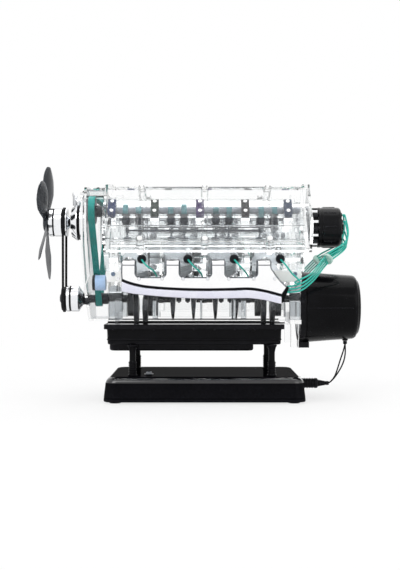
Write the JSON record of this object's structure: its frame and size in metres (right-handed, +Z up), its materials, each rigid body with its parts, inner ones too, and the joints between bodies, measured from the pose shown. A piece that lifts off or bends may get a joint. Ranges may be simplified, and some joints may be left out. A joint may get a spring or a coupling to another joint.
{
  "type": "four stroke engine model",
  "caption": "Clear display model of a V-shaped four stroke engine with a turning crank, pistons, cams and fan, on a black base with a drive motor.",
  "frame": {"origin": "bottom centre of the model's box, on the surface under its feet", "axes": "+Z up, +X along the crankshaft from the fan to the motor, -Y towards the near bank"},
  "size_m": [0.315, 0.2146, 0.2314],
  "materials": {
    "clear_plastic": "clear, polished",
    "chrome_plastic": "mirror plating",
    "black_gloss": "polished black",
    "black_satin": "satin black",
    "dark_grey": "satin dark grey",
    "light_grey": "satin light grey",
    "cap_blue": "satin navy",
    "pale_blue": "translucent pale blue",
    "teal_rubber": "satin teal",
    "black_rubber": "satin black",
    "white_plastic": "satin white",
    "motor_metal": "satin metal"
  },
  "bodies": {
    "stand_and_block": {"base_shell": "black_gloss", "base_bottom_plate": "black_satin", "battery_pack": "motor_metal", "power_plug": "black_rubber", "power_wires": "black_rubber", "oil_pan": "black_satin", "engine_block": "clear_plastic", "main_bearing_ladder": "clear_plastic", "timing_belt": "teal_rubber", "timing_cover": "clear_plastic", "water_pump": "chrome_plastic", "fan_belt": "black_rubber", "intake_manifold": "clear_plastic", "motor_housing": "black_gloss", "gear_motor": "motor_metal", "distributor_mount": "clear_plastic", "distributor_body": "black_satin", "distributor_cap": "black_satin", "near_cylinder_head": "clear_plastic", "near_valve_cover": "clear_plastic", "near_cam_cap_frame": "cap_blue", "near_exhaust_manifold": "chrome_plastic", "near_ignition_leads": "teal_rubber", "far_cylinder_head": "clear_plastic", "far_valve_cover": "clear_plastic", "far_cam_cap_frame": "cap_blue", "far_exhaust_manifold": "chrome_plastic", "far_ignition_leads": "teal_rubber"},
    "crankshaft": {"crankshaft": "dark_grey", "crank_sprocket": "dark_grey", "crank_pulley": "chrome_plastic"},
    "outer_web_dowel": {"outer_web_dowel": "light_grey"},
    "inner_web_dowel": {"inner_web_dowel": "light_grey"},
    "outer_rods": {"near_rod_1": "dark_grey", "near_rod_4": "dark_grey", "far_rod_1": "dark_grey", "far_rod_4": "dark_grey"},
    "inner_rods": {"near_rod_2": "dark_grey", "near_rod_3": "dark_grey", "far_rod_2": "dark_grey", "far_rod_3": "dark_grey"},
    "fan": {"fan": "black_satin", "fan_pulley": "chrome_plastic"},
    "tensioner_roller": {"tensioner_roller": "pale_blue"},
    "distributor_rotor": {"distributor_rotor": "white_plastic"},
    "base_switch": {"base_switch": "dark_grey"},
    "near_outer_pistons": {"near_piston_1": "light_grey", "near_piston_4": "light_grey"},
    "near_inner_pistons": {"near_piston_2": "light_grey", "near_piston_3": "light_grey"},
    "near_camshaft": {"near_camshaft": "light_grey"},
    "near_front_valves": {"near_front_valves": "dark_grey"},
    "near_rear_valves": {"near_rear_valves": "dark_grey"},
    "far_outer_pistons": {"far_piston_1": "light_grey", "far_piston_4": "light_grey"},
    "far_inner_pistons": {"far_piston_2": "light_grey", "far_piston_3": "light_grey"},
    "far_camshaft": {"far_camshaft": "light_grey"},
    "far_front_valves": {"far_front_valves": "dark_grey"},
    "far_rear_valves": {"far_rear_valves": "dark_grey"}
  },
  "joints": [
    {"name": "crank_spin", "type": "hinge", "parent": "stand_and_block", "child": "crankshaft", "pos_m": [0.00453, 0, 0.098], "axis": [1, 0, 0], "continuous": true},
    {"name": "outer_dowel_spin", "type": "hinge", "parent": "crankshaft", "child": "outer_web_dowel", "pos_m": [-0.04547, 0, 0.093], "axis": [1, 0, 0], "continuous": true},
    {"name": "outer_rod_pins", "type": "hinge", "parent": "crankshaft", "child": "outer_rods", "pos_m": [0.00453, 0, 0.088], "axis": [1, 0, 0], "continuous": true},
    {"name": "near_outer_piston_motion", "type": "hinge", "parent": "outer_web_dowel", "child": "near_outer_pistons", "pos_m": [0.00453, 0.005, 0.093], "axis": [1, 0, 0], "continuous": true},
    {"name": "far_outer_piston_motion", "type": "hinge", "parent": "outer_web_dowel", "child": "far_outer_pistons", "pos_m": [0.00453, -0.005, 0.093], "axis": [1, 0, 0], "continuous": true},
    {"name": "inner_dowel_spin", "type": "hinge", "parent": "crankshaft", "child": "inner_web_dowel", "pos_m": [-0.01547, 0, 0.103], "axis": [1, 0, 0], "continuous": true},
    {"name": "inner_rod_pins", "type": "hinge", "parent": "crankshaft", "child": "inner_rods", "pos_m": [0.00453, 0, 0.108], "axis": [1, 0, 0], "continuous": true},
    {"name": "near_inner_piston_motion", "type": "hinge", "parent": "inner_web_dowel", "child": "near_inner_pistons", "pos_m": [0.00453, -0.005, 0.103], "axis": [1, 0, 0], "continuous": true},
    {"name": "far_inner_piston_motion", "type": "hinge", "parent": "inner_web_dowel", "child": "far_inner_pistons", "pos_m": [0.00453, 0.005, 0.103], "axis": [1, 0, 0], "continuous": true},
    {"name": "near_cam_spin", "type": "hinge", "parent": "stand_and_block", "child": "near_camshaft", "pos_m": [0.00453, -0.07085, 0.1813], "axis": [1, 0, 0], "continuous": true},
    {"name": "far_cam_spin", "type": "hinge", "parent": "stand_and_block", "child": "far_camshaft", "pos_m": [0.00453, 0.07085, 0.1813], "axis": [1, 0, 0], "continuous": true},
    {"name": "fan_spin", "type": "hinge", "parent": "stand_and_block", "child": "fan", "pos_m": [-0.14547, 0, 0.174], "axis": [1, 0, 0], "continuous": true},
    {"name": "tensioner_spin", "type": "hinge", "parent": "stand_and_block", "child": "tensioner_roller", "pos_m": [-0.09547, -0.03343, 0.1142], "axis": [1, 0, 0], "continuous": true},
    {"name": "rotor_spin", "type": "hinge", "parent": "stand_and_block", "child": "distributor_rotor", "pos_m": [0.12453, 0, 0.169], "axis": [1, 0, 0], "continuous": true},
    {"name": "near_front_valve_lift", "type": "slide", "parent": "stand_and_block", "child": "near_front_valves", "axis": [0, 0.7071, -0.7071], "range_m": [0, 0.002], "stiffness_N_per_m": 60, "springref_m": -0.001},
    {"name": "near_rear_valve_lift", "type": "slide", "parent": "stand_and_block", "child": "near_rear_valves", "axis": [0, 0.7071, -0.7071], "range_m": [0, 0.002], "stiffness_N_per_m": 60, "springref_m": -0.001},
    {"name": "far_front_valve_lift", "type": "slide", "parent": "stand_and_block", "child": "far_front_valves", "axis": [0, -0.7071, -0.7071], "range_m": [0, 0.002], "stiffness_N_per_m": 60, "springref_m": -0.001},
    {"name": "far_rear_valve_lift", "type": "slide", "parent": "stand_and_block", "child": "far_rear_valves", "axis": [0, -0.7071, -0.7071], "range_m": [0, 0.002], "stiffness_N_per_m": 60, "springref_m": -0.001},
    {"name": "base_switch_press", "type": "slide", "parent": "stand_and_block", "child": "base_switch", "axis": [0, 0, -1], "range_m": [0, 0.0015], "stiffness_N_per_m": 150, "springref_m": -0.0005}
  ],
  "couplings": [
    {"joint": "outer_dowel_spin", "follows": "crank_spin", "ratio": -2},
    {"joint": "outer_rod_pins", "follows": "crank_spin", "ratio": -1},
    {"joint": "near_outer_piston_motion", "follows": "crank_spin", "ratio": 1},
    {"joint": "far_outer_piston_motion", "follows": "crank_spin", "ratio": 1},
    {"joint": "inner_dowel_spin", "follows": "crank_spin", "ratio": -2},
    {"joint": "inner_rod_pins", "follows": "crank_spin", "ratio": -1},
    {"joint": "near_inner_piston_motion", "follows": "crank_spin", "ratio": 1},
    {"joint": "far_inner_piston_motion", "follows": "crank_spin", "ratio": 1},
    {"joint": "near_cam_spin", "follows": "crank_spin", "ratio": 0.5},
    {"joint": "far_cam_spin", "follows": "crank_spin", "ratio": 0.5},
    {"joint": "fan_spin", "follows": "crank_spin", "ratio": 0.8939},
    {"joint": "tensioner_spin", "follows": "crank_spin", "ratio": -0.8},
    {"joint": "rotor_spin", "follows": "crank_spin", "ratio": 0.5}
  ]
}
